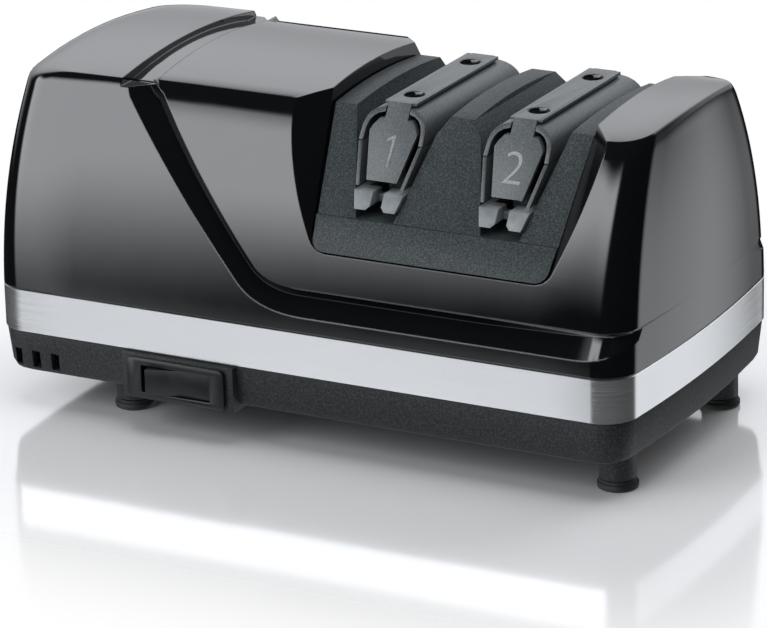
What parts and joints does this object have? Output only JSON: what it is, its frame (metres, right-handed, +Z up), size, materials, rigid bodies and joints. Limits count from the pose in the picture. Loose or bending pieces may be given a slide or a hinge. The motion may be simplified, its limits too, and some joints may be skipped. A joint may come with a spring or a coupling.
{
  "type": "electric knife sharpener",
  "caption": "Bench-top electric knife sharpener with arched blade guides in a sunken deck, a rocker switch, a steel band and a slotted base on rubber feet.",
  "frame": {"origin": "bottom centre of the whole object, on the surface that it stands on", "axes": "+X along the body from the motor end to the guide end, the switch side facing -Y, +Z up"},
  "size_m": [0.216, 0.122, 0.109],
  "materials": {
    "gloss_black_shell": "polished black ABS",
    "steel_band": "fine brushed stainless steel",
    "matt_black_plastic": "matt black moulded plastic with a fine spark texture",
    "textured_black_plastic": "matt black moulded plastic with a sandy texture",
    "guide_grey_plastic": "matt dark grey moulded plastic",
    "spring_black_plastic": "satin black plastic",
    "stop_grey_plastic": "light grey moulded plastic",
    "black_rubber": "black rubber",
    "plain_steel": "zinc-plated or plain steel",
    "laminated_steel": "varnished laminated steel",
    "enamelled_copper": "enamelled copper wire",
    "sintered_bronze": "oil-soaked sintered bronze",
    "abrasive_coat": "steel coated with fine diamond grit",
    "fan_plastic": "natural moulded plastic"
  },
  "bodies": {
    "housing": {"base_screw_front_left": "plain_steel", "base_screw_front_right": "plain_steel", "base_screw_rear_left": "plain_steel", "base_screw_rear_right": "plain_steel", "base_tray": "matt_black_plastic", "bracket_screw_front": "plain_steel", "bracket_screw_rear": "plain_steel", "bush_end": "sintered_bronze", "bush_left": "sintered_bronze", "bush_right": "sintered_bronze", "cleanout_hatch": "matt_black_plastic", "cord_gland": "black_rubber", "end_bracket": "matt_black_plastic", "filings_magnet": "plain_steel", "foot_front_left": "black_rubber", "foot_front_right": "black_rubber", "foot_rear_left": "black_rubber", "foot_rear_right": "black_rubber", "guide_block_1": "guide_grey_plastic", "guide_block_2": "guide_grey_plastic", "guide_deck": "textured_black_plastic", "guide_screw_1_front": "plain_steel", "guide_screw_1_rear": "plain_steel", "guide_screw_2_front": "plain_steel", "guide_screw_2_rear": "plain_steel", "motor_bolt_lower": "plain_steel", "motor_bolt_upper": "plain_steel", "motor_bracket_left": "plain_steel", "motor_bracket_right": "plain_steel", "motor_coil": "enamelled_copper", "motor_stator": "laminated_steel", "spring_crown_1": "spring_black_plastic", "spring_crown_2": "spring_black_plastic", "stop_frame_1": "stop_grey_plastic", "stop_frame_2": "stop_grey_plastic", "switch_bezel": "matt_black_plastic", "switch_body": "matt_black_plastic", "switch_terminal_left": "plain_steel", "switch_terminal_right": "plain_steel", "trim_band": "steel_band", "upper_housing": "gloss_black_shell"},
    "rocker": {"switch_rocker": "spring_black_plastic"},
    "drive_shaft": {"motor_shaft": "plain_steel", "rotor_core": "laminated_steel", "cooling_fan": "fan_plastic", "disc_spring_1": "plain_steel", "disc_spring_2": "plain_steel", "drive_pin_1_left": "plain_steel", "drive_pin_1_right": "plain_steel", "drive_pin_2_left": "plain_steel", "drive_pin_2_right": "plain_steel"},
    "disc_1_left": {"disc_1_left": "abrasive_coat"},
    "spring_leg_1_left": {"spring_leg_1_left": "spring_black_plastic"},
    "disc_1_right": {"disc_1_right": "abrasive_coat"},
    "spring_leg_1_right": {"spring_leg_1_right": "spring_black_plastic"},
    "disc_2_left": {"disc_2_left": "abrasive_coat"},
    "spring_leg_2_left": {"spring_leg_2_left": "spring_black_plastic"},
    "disc_2_right": {"disc_2_right": "abrasive_coat"},
    "spring_leg_2_right": {"spring_leg_2_right": "spring_black_plastic"}
  },
  "joints": [
    {"name": "rocker_pivot", "type": "hinge", "parent": "housing", "child": "rocker", "pos_m": [-0.04, -0.0511, 0.0181], "axis": [0, 0, 1], "range_deg": [-18, 0]},
    {"name": "motor_spin", "type": "hinge", "parent": "housing", "child": "drive_shaft", "pos_m": [0, 0, 0.058], "axis": [1, 0, 0], "continuous": true},
    {"name": "disc_1_left_slide", "type": "slide", "parent": "drive_shaft", "child": "disc_1_left", "axis": [1, 0, 0], "range_m": [0, 0.0008], "stiffness_N_per_m": 400, "springref_m": -0.001, "deforming": ["disc_spring_1"]},
    {"name": "spring_leg_1_left_flex", "type": "hinge", "parent": "housing", "child": "spring_leg_1_left", "pos_m": [0.01215, 0, 0.0942], "axis": [0, -1, 0], "range_deg": [0, 6], "stiffness_Nm_per_rad": 0.3},
    {"name": "disc_1_right_slide", "type": "slide", "parent": "drive_shaft", "child": "disc_1_right", "axis": [-1, 0, 0], "range_m": [0, 0.0008], "stiffness_N_per_m": 400, "springref_m": -0.001, "deforming": ["disc_spring_1"]},
    {"name": "spring_leg_1_right_flex", "type": "hinge", "parent": "housing", "child": "spring_leg_1_right", "pos_m": [0.03175, 0, 0.0942], "axis": [0, 1, 0], "range_deg": [0, 6], "stiffness_Nm_per_rad": 0.3},
    {"name": "disc_2_left_slide", "type": "slide", "parent": "drive_shaft", "child": "disc_2_left", "axis": [1, 0, 0], "range_m": [0, 0.0008], "stiffness_N_per_m": 400, "springref_m": -0.001, "deforming": ["disc_spring_2"]},
    {"name": "spring_leg_2_left_flex", "type": "hinge", "parent": "housing", "child": "spring_leg_2_left", "pos_m": [0.05285, 0, 0.0942], "axis": [0, -1, 0], "range_deg": [0, 6], "stiffness_Nm_per_rad": 0.3},
    {"name": "disc_2_right_slide", "type": "slide", "parent": "drive_shaft", "child": "disc_2_right", "axis": [-1, 0, 0], "range_m": [0, 0.0008], "stiffness_N_per_m": 400, "springref_m": -0.001, "deforming": ["disc_spring_2"]},
    {"name": "spring_leg_2_right_flex", "type": "hinge", "parent": "housing", "child": "spring_leg_2_right", "pos_m": [0.07245, 0, 0.0942], "axis": [0, 1, 0], "range_deg": [0, 6], "stiffness_Nm_per_rad": 0.3}
  ]
}
